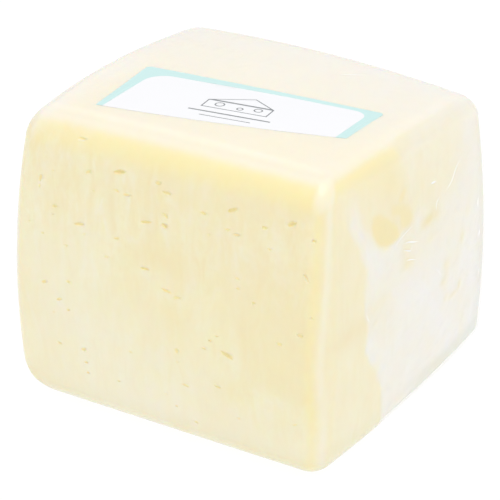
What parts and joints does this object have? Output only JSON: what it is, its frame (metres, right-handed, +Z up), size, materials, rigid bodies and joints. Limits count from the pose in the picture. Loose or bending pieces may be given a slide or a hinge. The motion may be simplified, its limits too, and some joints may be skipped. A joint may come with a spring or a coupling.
{
  "type": "gouda cheese",
  "caption": "Bar of young gouda with small eyes in its cut faces, sealed in tight clear film with a plain bordered label on top.",
  "frame": {"origin": "middle of the box in plan, on the flat bottom", "axes": "+Z up; the cut face that shows best looks along -Y; the side with the loose, misted film looks along +X"},
  "size_m": [0.1188, 0.1114, 0.0982],
  "materials": {
    "cheese": "moist pale yellow cheese",
    "clear_film": "clear glossy film, misted where it stands off",
    "label_paper": "smooth coated white paper with a pale aqua border"
  },
  "bodies": {
    "root": {"wrapped_cheese": "cheese", "label": "label_paper"}
  },
  "joints": []
}
